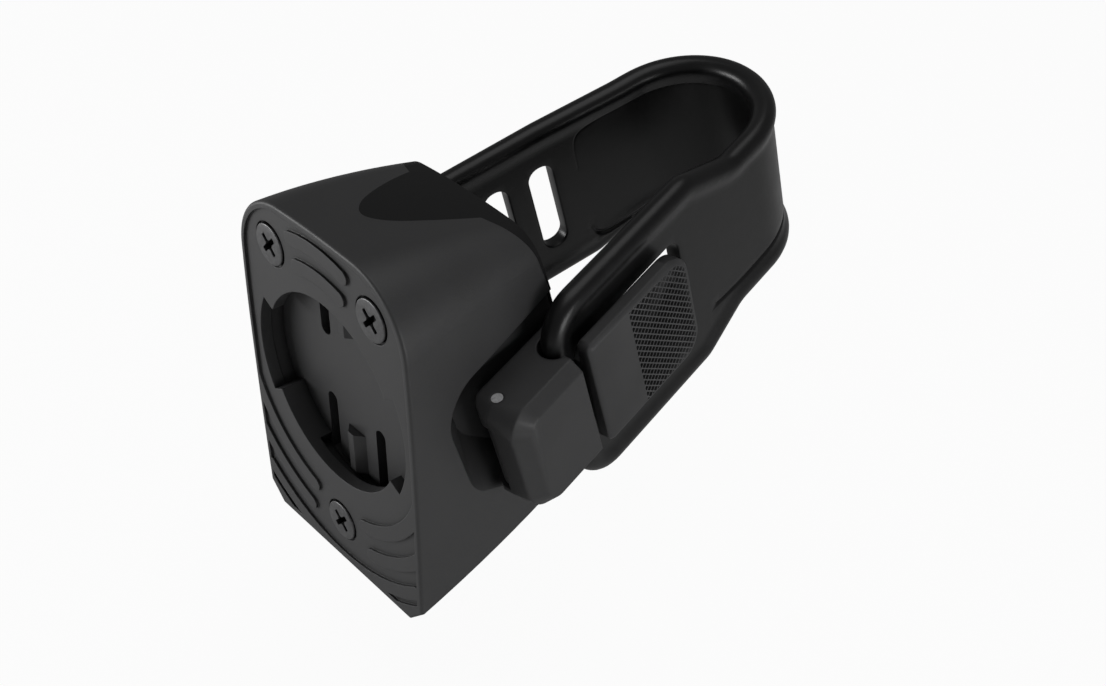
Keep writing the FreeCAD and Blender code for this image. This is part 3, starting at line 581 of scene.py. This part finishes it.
def winding(points, loop):
    """True inside a closed line: a level ray from the point crosses it an odd number of times."""
    a, b = loop, np.roll(loop, -1, 0)
    odd = np.zeros(len(points), bool)
    for k in range(0, len(a), BATCH):
        p, q = a[k:k + BATCH], b[k:k + BATCH]
        spans = (p[None, :, 1] > points[:, None, 1]) != (q[None, :, 1] > points[:, None, 1])
        rise = np.where(np.abs(q[:, 1] - p[:, 1]) < 1e-12, 1e-12, q[:, 1] - p[:, 1])
        x = p[:, 0] + (points[:, None, 1] - p[None, :, 1]) * (q[:, 0] - p[:, 0]) / rise
        odd ^= (spans & (points[:, None, 0] < x)).sum(1) % 2 == 1
    return odd


def triangulated(points, counts, merge):
    """Points and counter-clockwise triangles of a flat field. Its first points are closed lines
    with these counts of points, which stay as edges. merge is the distance in mm under which
    points become one."""
    edges = []
    for count, end in zip(counts, np.cumsum(counts)):
        loop = np.arange(end - count, end)
        edges.append(np.stack([loop, np.roll(loop, -1)], 1))
    made = delaunay_2d_cdt(
        [Vector(p) for p in points / MM], np.concatenate(edges).tolist(), [], 1, merge)
    flat = np.array([tuple(p) for p in made[0]]) * MM
    tris = np.array([f for f in made[2] if len(f) == 3])
    a, b, c = flat[tris[:, 0]], flat[tris[:, 1]], flat[tris[:, 2]]
    turned = cross(b - a, c - a) < 0
    tris[turned] = tris[turned][:, ::-1]
    return flat, tris


# ---------------------------------------- strap

def sweep_length(z):
    """Length of the bend's middle line: its radius times the angle that it turns through."""
    return (z.loop_r - z.bead_r) * (math.pi - 2 * z.converge)


def loop_point(u, w, n, z):
    """A point of the strap. u runs back along the right side up to 0, round the bend at its
    middle radius R, and forward along the left side; n is out from the middle surface and w is
    up. With a = u / R held between 0 and the bend's angle and t the rest of u, the point is
    (R + n)(cos a, sin a) + t(-sin a, cos a), turned by the side angle about the bend's centre and
    then by the post's tilt about X."""
    radius = z.loop_r - z.bead_r
    bend = sweep_length(z)
    angle = np.clip(u, 0.0, bend) / radius
    rest = np.minimum(u, 0.0) + np.maximum(u - bend, 0.0)
    across = (radius + n) * np.cos(angle) - rest * np.sin(angle)
    back = (radius + n) * np.sin(angle) + rest * np.cos(angle)
    c, s = math.cos(z.converge), math.sin(z.converge)
    x = across * c - back * s
    v = z.loop_v + across * s + back * c
    ct, st = math.cos(z.tilt), math.sin(z.tilt)
    return np.stack([x, v * ct - w * st, v * st + w * ct], axis=-1)


def strap_outline(z):
    """Corners, radii and turns of the strap laid flat, in u and w, counter-clockwise from the
    right side's lower front. A turn is 1 at an outer corner and -1 at an inner one."""
    bend = sweep_length(z)
    top, bottom = z.near_centre_w + z.near_half, z.near_centre_w - z.near_half
    high, low = z.centre_w + z.half, z.centre_w - z.half
    end = bend - z.far_front
    corners = [
        (z.near_front, bottom), (z.foot_jog_start, bottom), (z.foot_jog_end, low),
        (bend - z.far_foot_end, low), (bend - z.far_foot_start, z.far_bottom_w),
        (end, z.far_bottom_w), (end, z.far_top_w), (bend - z.far_jog_start, z.far_top_w),
        (bend - z.far_jog_end, high), (z.jog_end, high), (z.jog_start, top), (z.near_front, top)]
    near, far, jog = NEAR_CORNER_R, FAR_CORNER_R, z.jog_r
    turns = np.array([near, jog, -jog, -jog, jog, far, far, jog, -jog, -jog, jog, near])
    signs = np.sign(turns)
    return inset(corners, z.bead_r), np.abs(turns) - signs * z.bead_r, signs


def strap_slots(z):
    """The slots as (u0, u1, w0, w1, fall), where the upper front corner is lower than w1 by the
    fall: the button slot of the right side, and the ladder of the left side."""
    bend = sweep_length(z)
    slots = [(
        z.slot_front, z.slot_rear,
        z.slot_centre_w - z.slot_half, z.slot_centre_w + z.slot_half, z.slot_fall)]
    for k in range(z.rungs):
        middle = bend - (z.rung_first - z.rung_pitch * k)
        slots.append((
            middle - z.rung_width / 2, middle + z.rung_width / 2,
            z.rung_centre_w - z.rung_half, z.rung_centre_w + z.rung_half, 0.0))
    return slots


def strap_lines(z):
    """Fine lines in the strap's faces, as (points in u and w, side, height, half width), all in
    metres. Side 1 is out and -1 is in. The tables are in mm, and seam and panel start at the
    bend's far end."""
    bend = sweep_length(z) / MM
    groove = [(-12.4, -16.75), (-7.2, -17.15), (-1.0, -17.1), (6.0, -16.6), (bend - 6.0, -16.6)]
    seam = [
        (11.4, -17.6), (10.8, -18.9), (9.6, -19.5), (7.6, -19.5), (3.2, -19.2), (-4.0, -18.8),
        (-12.0, -18.8)]
    panel = [
        (11.6, -6.0), (11.5, -2.6), (10.9, -0.9), (9.3, -0.15), (6.4, 0.0), (1.0, -0.15),
        (-14.0, -0.3)]
    return [
        (np.array(groove) * MM, 1, -0.32 * MM, 0.24 * MM),
        (np.array([(bend + u, w) for u, w in seam]) * MM, -1, -0.35 * MM, 0.26 * MM),
        (np.array([(bend + u, w) for u, w in panel]) * MM, -1, -0.05 * MM, 0.14 * MM)]


def flat_mesh(z):
    """The strap laid flat as triangles: its outline and slots, and points on a grid, along the
    rolled edge and beside the fine lines."""
    corners, radii, signs = strap_outline(z)
    outline = rounded(corners, radii, OUTLINE_STEP)
    holes = []
    for u0, u1, w0, w1, fall in strap_slots(z):
        slot = inset([(u0, w0), (u1, w0), (u1, w1), (u0, w1 - fall)], -LIP)
        holes.append(rounded(slot, [SLOT_CORNER_R + LIP] * 4, LINE_STEP))
    lines = [
        (smooth_line(p, LINE_STEP), side, height, width)
        for p, side, height, width in strap_lines(z)]
    extra = []
    for depth in ROLL_ROWS:
        turns = np.maximum(radii - signs * depth * MM, LEAST_R)
        extra.append(rounded(inset(corners, depth * MM), turns, ROLL_STEP))
    for line, side, height, width in lines:
        across = left(unit(np.gradient(line, axis=0)))
        extra += [line + across * width * k for k in LINE_ROWS]
    low, high = outline.min(0), outline.max(0)
    columns = np.arange(low[0], high[0], z.mesh_step)
    rows = np.arange(low[1], high[1], z.mesh_step)
    grid = np.stack(np.meshgrid(columns, rows, indexing="ij"), -1).reshape(-1, 2)
    grid = grid[distance_to(grid, outline) > GRID_MARGIN]
    keep = np.ones(len(grid), bool)
    for line, side, height, width in lines:
        keep &= distance_to(grid, line, False) > width * LINE_MARGIN
    loose = np.concatenate(extra + [grid[keep]])
    inside = winding(loose, outline) & (distance_to(loose, outline) > OUTLINE_MARGIN)
    for hole in holes:
        inside &= ~(winding(loose, hole) | (distance_to(loose, hole) < SLOT_MARGIN))
    loops = [outline] + holes
    points, tris = triangulated(
        np.concatenate(loops + [loose[inside]]), [len(loop) for loop in loops], merge=1e-4)
    middle = points[tris].mean(1)
    keep = np.ones(len(tris), bool)
    for hole in holes:
        keep &= ~winding(middle, hole)
    return points, tris[keep], outline, lines


def strap_surface(z):
    """The strap's closed skin. On the flat mesh, the half thickness h falls from the bead radius
    r at the outline to half the web at a distance D from it: h = web / 2 + (r - web / 2)
    cos^2(pi d / 2D). Fine lines add a height times exp(-(d / width)^2). The rim is a half round
    of radius r on the outline, and a wall with rounded lips in the slots."""
    points, tris, outline, lines = flat_mesh(z)
    r = z.bead_r
    d = distance_to(points, outline)
    h = z.web / 2 + (r - z.web / 2) * np.cos(np.minimum(d / z.roll, 1) * math.pi / 2) ** 2
    out, inn = h.copy(), h.copy()
    for line, side, height, width in lines:
        swell = height * np.exp(-(distance_to(points, line, False) / width) ** 2)
        out, inn = (out + swell, inn) if side > 0 else (out, inn + swell)
    count = len(points)
    edges = np.concatenate([tris[:, [0, 1]], tris[:, [1, 2]], tris[:, [2, 0]]])
    key = np.sort(edges, 1)
    unique, inverse, times = np.unique(
        key[:, 0] * count + key[:, 1], return_inverse=True, return_counts=True)
    border = edges[times[inverse.reshape(-1)] == 1]
    along = unit(points[border[:, 1]] - points[border[:, 0]])
    away = np.zeros_like(points)
    for column in (0, 1):
        np.add.at(away, border[:, column], -left(along))
    rim = np.unique(border)
    away = unit(away[rim])
    on_outline = (d[rim] < ON_OUTLINE)[:, None]
    angle = np.radians(np.linspace(90, -90, len(LIP_OUT)))
    push = np.where(on_outline, np.cos(angle) * r, LIP_OUT)
    lift = np.where(on_outline, np.sin(angle), LIP_UP) * h[rim][:, None]
    rings = points[rim][:, None] + away[:, None] * push[:, 1:-1, None]
    u = np.concatenate([points[:, 0], points[:, 0], rings[..., 0].ravel()])
    w = np.concatenate([points[:, 1], points[:, 1], rings[..., 1].ravel()])
    n = np.concatenate([out, -inn, lift[:, 1:-1].ravel()])
    lookup = np.full(count, -1)
    lookup[rim] = np.arange(len(rim))
    inner = len(angle) - 2
    a, b = border[:, 0], border[:, 1]

    def level(v, k):
        """Index of rim point v on ring k, from the outer face at 0 to the inner face."""
        if k == 0:
            return v
        return v + count if k == inner + 1 else 2 * count + lookup[v] * inner + k - 1

    faces = np.concatenate([tris, tris[:, ::-1] + count])
    quads = np.concatenate([
        np.stack([level(b, k), level(a, k), level(a, k + 1), level(b, k + 1)], 1)
        for k in range(inner + 1)])
    return loop_point(u, w, n, z), faces.tolist() + quads.tolist(), np.stack([u, w], 1)


# ---------------------------------------- pieces

def linked(name, data):
    """A new object with this data, in the scene."""
    made = bpy.data.objects.new(name, data)
    bpy.context.scene.collection.objects.link(made)
    return made


def shade_smooth(mesh):
    """Makes every face smooth."""
    mesh.polygons.foreach_set("use_smooth", np.ones(len(mesh.polygons), bool))


def new_piece(name, verts, faces, material, uv=None):
    """A smooth piece of one material, with each point's flat place as its UV where it has one."""
    mesh = bpy.data.meshes.new(name)
    mesh.from_pydata(verts.tolist(), [], faces)
    if uv is not None:
        layer = mesh.uv_layers.new(name="Flat")
        index = np.empty(len(mesh.loops), np.int32)
        mesh.loops.foreach_get("vertex_index", index)
        layer.data.foreach_set("uv", (uv[index] * UV_SCALE).astype(np.float32).ravel())
    shade_smooth(mesh)
    mesh.materials.append(material)
    mesh.update()
    return linked(name, mesh)


def edited(mesh, change):
    """The mesh after a change, which is a function of its bmesh."""
    solid = bmesh.new()
    solid.from_mesh(mesh)
    change(solid)
    solid.to_mesh(mesh)
    solid.free()
    return mesh


def weld(solid):
    """Merges the loose triangles of a CAD node's mesh."""
    bmesh.ops.remove_doubles(solid, verts=solid.verts, dist=WELD)


def turn_outward(solid):
    """Reverses the faces of a closed shape whose volume counts as less than 0."""
    if solid.calc_volume(signed=True) < 0:
        bmesh.ops.reverse_faces(solid, faces=solid.faces)


def corner_cut(z, h, edge, up, more):
    """What the hook's block loses at a front corner: the space between two straight edges and a
    quarter circle that touches them. up is 1 at the top edge and -1 at the bottom one, and more
    is added to the radius near the pin. A level is (height over the strap's middle surface, how
    far up the broken edges, radius), so that the broken edges run round the corner."""
    outer = z.bead_r + h.outer
    low, rim = h.corner_low + more, h.corner_rim + 0.5 * more
    levels = [
        (CUT_LOW, 0.0, low), (CUT_SWELL, 0.0, low), (outer - h.chamfer, 0.0, rim),
        (outer, 1.0, h.corner_face), (outer + 0.4 * h.chamfer, 1.4, 0.8 * h.corner_face)]
    turn = np.linspace(0, math.pi / 2, CUT_POINTS)
    far_u, far_w = h.front - CUT_REACH, up * edge + CUT_REACH
    rings = []
    for n, share, r in levels:
        front = h.front - SLIVER + share * h.front_bevel
        top = up * edge + SLIVER - share * h.chamfer
        u = np.concatenate([front + r - r * np.cos(turn), [front + r, far_u, far_u]])
        w = np.concatenate([top - r + r * np.sin(turn), [far_w, far_w, top - r]])
        rings.append(loop_point(u, up * w, np.full(len(u), n), z))
    count = len(rings[0])
    i, j = np.arange(count), np.roll(np.arange(count), -1)
    faces = [i[::-1].tolist(), (i + count * (len(rings) - 1)).tolist()]
    for k in range(len(rings) - 1):
        faces += (np.stack([i, j, j + count, i + count], 1) + k * count).tolist()
    mesh = bpy.data.meshes.new("corner_cut")
    mesh.from_pydata(np.concatenate(rings).tolist(), [], faces)
    return edited(mesh, turn_outward)


def hook_piece(z, h, material):
    """The hook's own solid, merged, with both front corners of its block rounded."""
    rough = linked("hook_rough", edited(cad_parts["strap_hook"].data.copy(), weld))
    upper = corner_cut(z, h, h.top, 1, 0.0)
    lower = corner_cut(z, h, h.bottom, -1, h.corner_more)
    cutter = linked("corner_cuts", edited(upper, lambda solid: solid.from_mesh(lower)))
    cut = rough.modifiers.new("corners", "BOOLEAN")
    cut.operation, cut.solver, cut.object = "DIFFERENCE", "EXACT", cutter
    bpy.context.view_layer.update()
    worked_out = rough.evaluated_get(bpy.context.evaluated_depsgraph_get())
    made = bpy.data.meshes.new_from_object(worked_out)
    for spare in (cutter, rough):
        bpy.data.objects.remove(spare)
    made.name = "hook_moulding"
    made.materials.clear()
    made.materials.append(material)
    made.polygons.foreach_set("material_index", np.zeros(len(made.polygons), np.int32))
    shade_smooth(made)
    made.set_sharp_from_angle(angle=math.radians(22))
    return linked("hook_moulding", made)


def cross_outline(half, width):
    """A cross, counter-clockwise: two bars of a width and twice a half length, turned by an
    eighth of a turn, with rounded tips and inner corners."""
    a, b = half, width / 2
    corners = np.array([
        (a, -b), (a, b), (b, b), (b, a), (-b, a), (-b, b),
        (-a, b), (-a, -b), (-b, -b), (-b, -a), (b, -a), (b, -b)])
    tip, inner = 0.25 * width, 0.5 * width
    line = rounded(corners, [tip, tip, inner] * 4, CROSS_STEP)
    return np.stack([line[:, 0] - line[:, 1], line[:, 0] + line[:, 1]], 1) * math.sqrt(0.5)


def screw_surface(low, high, z):
    """A countersunk screw about an axis along Y. The side is a profile of (radius, depth) turned
    about the axis; the head's top is the disc less the cross; the recess has drafted walls from
    the cross down to a flat floor."""
    centre, r = (low + high) / 2, (high.x - low.x) / 2 - z.gap
    end, shank = high.y - low.y + z.rise, z.shank_r
    turn = np.arange(SCREW_SIDES) / SCREW_SIDES * 2 * math.pi
    ring = np.stack([np.cos(turn), np.sin(turn)], 1)
    brim, cone = z.brim + z.rise, z.brim + z.rise + r - shank
    profile = [(r - back * MM, down * MM) for back, down in SCREW_RIM]
    profile += [(r, brim), (shank, cone), (shank, end - SCREW_TIP), (shank - SCREW_TIP, end)]
    recess = cross_outline(z.cross_half, z.cross_width)
    along = unit(np.roll(recess, -1, 0) - np.roll(recess, 1, 0))
    floor = recess + left(along) * z.draft
    flat = np.concatenate([ring * profile[0][0], recess])
    n, c = len(ring), len(recess)
    tris = triangulated(flat, (n, c), merge=1e-5)[1]
    sunk = winding(flat[tris].mean(1), recess)
    rings = [ring * radius for radius, depth in profile[1:]]
    depths = [np.full(n, depth) for radius, depth in profile[1:]]
    plane = np.concatenate([flat, floor] + rings)
    depth = np.concatenate([np.zeros(n + c), np.full(c, z.cross_depth)] + depths)
    verts = np.stack([centre.x + plane[:, 0], low.y - z.rise + depth, centre.z + plane[:, 1]], 1)
    i, j = np.arange(c), np.roll(np.arange(c), -1)
    quads = [np.stack([n + i, n + j, n + c + j, n + c + i], 1)]
    i, j = np.arange(n), np.roll(np.arange(n), -1)
    starts = [0] + [n + 2 * c + n * k for k in range(len(rings))]
    for top, bottom in zip(starts, starts[1:]):
        quads.append(np.stack([top + i, bottom + i, bottom + j, top + j], 1))
    faces = tris[~sunk].tolist() + (tris[sunk] + c).tolist() + np.concatenate(quads).tolist()
    return verts, faces + [(starts[-1] + i)[::-1].tolist()]


def dress(node, material):
    """Gives a CAD node a material in every slot."""
    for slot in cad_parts[node].material_slots:
        slot.material = material


class RADARMOUNT_OT_strap(bpy.types.Operator):
    """Mould the rubber strap: a closed loop with rolled edges, a button slot and a ladder"""
    bl_idname = "radarmount.strap"
    bl_label = "Strap"

    def execute(self, context):
        z, look = context.scene.radar_strap, context.scene.radar_finish
        rubber = moulded_rubber("strap_rubber", look.strap, roughness=0.33, specular=0.38)
        verts, faces, uv = strap_surface(z)
        strap = new_piece("strap_moulding", verts, faces, rubber, uv)
        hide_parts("strap")
        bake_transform(strap)
        return {"FINISHED"}


class RADARMOUNT_OT_body(bpy.types.Operator):
    """Finish the moulded body, its face plate and the sprung disc in the socket"""
    bl_idname = "radarmount.body"
    bl_label = "Body"

    def execute(self, context):
        look = context.scene.radar_finish
        # the body and face plate get painted shade in their gaps and inner corners, with these
        # reaches
        dress("housing", moulded_plastic("body_plastic", look.body, painted_gap_shade=(2.2, 0.35, 0.9)))
        dress("face_plate", moulded_plastic("face_plastic", look.face, painted_gap_shade=(1.2, 0.5, 0.96)))
        dress("detent_disc", moulded_plastic(
            "disc_plastic", look.disc, roughness=0.42, grain=DISC_GRAIN_DEPTH))
        return {"FINISHED"}


class RADARMOUNT_OT_pad(bpy.types.Operator):
    """Finish the rubber pad that meets the seat post"""
    bl_idname = "radarmount.pad"
    bl_label = "Pad"

    def execute(self, context):
        look = context.scene.radar_finish
        dress("saddle_pad", moulded_rubber(
            "pad_rubber", look.pad, roughness=0.56, specular=0.25))
        return {"FINISHED"}


class RADARMOUNT_OT_hook(bpy.types.Operator):
    """Round the front corners of the hook's block and finish it, with the grid in its grip plate"""
    bl_idname = "radarmount.hook"
    bl_label = "Hook"

    def execute(self, context):
        z, look = context.scene.radar_strap, context.scene.radar_finish
        zero, face = np.array(0.0), np.array(z.bead_r + GRIP_FACE)
        base = loop_point(zero, zero, face, z)
        along = base - loop_point(zero - 1.0, zero, face, z)
        up = loop_point(zero, zero + 1.0, face, z) - base
        knurled = knurled_plastic(
            "hook_plastic", look.hook, look.knurl_pitch / MM,
            tuple(base / MM), tuple(along), tuple(up))
        hook = hook_piece(z, context.scene.radar_hook, knurled)
        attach(hook, HOOK)
        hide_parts("strap_hook")
        return {"FINISHED"}


class RADARMOUNT_OT_fasteners(bpy.types.Operator):
    """Turn the dark cross-head screws, and finish the brass inserts and the steel hinge pin"""
    bl_idname = "radarmount.fasteners"
    bl_label = "Fasteners"

    def execute(self, context):
        z, look = context.scene.radar_screw, context.scene.radar_finish
        for place in ("upper_left", "upper_right", "lower"):
            low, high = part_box("face_screw_" + place)
            centre = tuple((low + high) / 2 / MM)
            steel = plated_steel("screw_steel_" + place, look.screw, 0.42, centre, 0.85)
            screw = new_piece("screw_" + place, *screw_surface(low, high, z), steel)
            screw.data.set_sharp_from_angle(angle=math.radians(35))
            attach(screw, ROOT)
            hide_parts("face_screw_" + place)
            brass = plated_steel("insert_brass_" + place, look.brass, 0.35, centre)
            dress("threaded_insert_" + place, brass)
        low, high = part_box("hinge_pin")
        centre = tuple((low + high) / 2 / MM)
        dress("hinge_pin", plated_steel("pin_steel", look.steel, 0.38, centre, 0.35))
        return {"FINISHED"}


# ---------------------------------------- studio

def area_light(name, power, size, where, target):
    """A soft light of a width and a height, facing a target."""
    data = bpy.data.lights.new(name, "AREA")
    data.energy = power
    data.shape = "RECTANGLE"
    data.size, data.size_y = size
    light = linked(name, data)
    light.location = where
    light.rotation_euler = (Vector(target) - Vector(where)).to_track_quat("-Z", "Y").to_euler()


def pale_floor(level, rgb):
    """A wide square at a level. The camera sees it nearly white, and keeps the object's shadow."""
    half = FLOOR_HALF
    mesh = bpy.data.meshes.new("floor")
    mesh.from_pydata(
        [(-half, -half, level), (half, -half, level), (half, half, level), (-half, half, level)],
        [], [(0, 1, 2, 3)])
    m = Maker("floor_pale")
    camera_ray = m.node("ShaderNodeLightPath", output="Is Camera Ray")
    plain = m.node("ShaderNodeBsdfDiffuse", {}, {"Color": rgba(rgb)})
    white = m.node("ShaderNodeEmission", {}, {"Color": (1.0, 1.0, 1.0, 1.0), "Strength": 1.0})
    m.surface(m.node("ShaderNodeMixShader", {}, {0: camera_ray * 0.95, 1: plain, 2: white}))
    mesh.materials.append(m.material)
    return linked("floor", mesh)


def studio_world(ambient):
    """Even light of a strength from all round, which the camera sees as white."""
    world = bpy.data.worlds.new("studio")
    world.use_nodes = True
    tree = world.node_tree
    back = tree.nodes["Background"]
    path = tree.nodes.new("ShaderNodeLightPath")
    mix = tree.nodes.new("ShaderNodeMix")
    mix.data_type = "FLOAT"
    tree.links.new(path.outputs["Is Camera Ray"], mix.inputs[0])
    mix.inputs[2].default_value = ambient
    mix.inputs[3].default_value = 1.0
    tree.links.new(mix.outputs[0], back.inputs["Strength"])
    back.inputs["Color"].default_value = (1.0, 1.0, 1.0, 1.0)
    return world


class RADARMOUNT_OT_stage(bpy.types.Operator):
    """Set the pale floor, the soft studio lights and the camera"""
    bl_idname = "radarmount.stage"
    bl_label = "Studio"

    def execute(self, context):
        scene, look = context.scene, context.scene.radar_stage
        low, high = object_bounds()
        middle = (low + high) / 2
        floor = pale_floor(low.z - FLOOR_DROP, look.floor)
        floor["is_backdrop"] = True
        scene.world = studio_world(look.ambient)
        for name, setting, size, offset in LIGHTS:
            area_light(name, getattr(look, setting), size, middle + Vector(offset), middle)
        data = bpy.data.cameras.new("photo_angle")
        data.sensor_width = 36.0
        data.lens = look.lens
        data.shift_x, data.shift_y = CAMERA_SHIFT
        data.clip_start = 0.01
        camera = linked("photo_angle", data)
        turn = Matrix([Vector(axis) for axis in CAMERA_AXES]).transposed().to_4x4()
        camera.matrix_world = Matrix.Translation(Vector(CAMERA_PLACE)) @ turn
        scene.camera = camera
        scene.view_settings.view_transform = "Standard"
        return {"FINISHED"}


# ---------------------------------------- add-on

STEPS = (
    ("strap", RADARMOUNT_OT_strap), ("body", RADARMOUNT_OT_body), ("pad", RADARMOUNT_OT_pad),
    ("hook", RADARMOUNT_OT_hook), ("fasteners", RADARMOUNT_OT_fasteners),
    ("stage", RADARMOUNT_OT_stage))

GROUPS = {
    "radar_strap": RadarMountStrap, "radar_hook": RadarMountHook, "radar_screw": RadarMountScrew,
    "radar_finish": RadarMountFinish, "radar_stage": RadarMountStage}


class RADARMOUNT_PT_panel(bpy.types.Panel):
    """Lists the pieces of the radar mount and what can be set for them"""
    bl_label = "Radar Mount"
    bl_idname = "RADARMOUNT_PT_panel"
    bl_space_type = "VIEW_3D"
    bl_region_type = "UI"
    bl_category = "Radar Mount"

    def draw(self, context):
        for name, step in STEPS:
            self.layout.operator(step.bl_idname)
        for name in GROUPS:
            group = getattr(context.scene, name)
            column = self.layout.column(align=True)
            for key in group.__annotations__:
                column.prop(group, key)


CLASSES = (*GROUPS.values(), *(step for name, step in STEPS), RADARMOUNT_PT_panel)


def register():
    for cls in CLASSES:
        bpy.utils.register_class(cls)
    for name, group in GROUPS.items():
        setattr(bpy.types.Scene, name, PointerProperty(type=group))


def unregister():
    for name in GROUPS:
        delattr(bpy.types.Scene, name)
    for cls in reversed(CLASSES):
        bpy.utils.unregister_class(cls)


def main():
    register()
    for name, step in STEPS:
        getattr(bpy.ops.radarmount, name)()


if __name__ == "__main__":
    main()
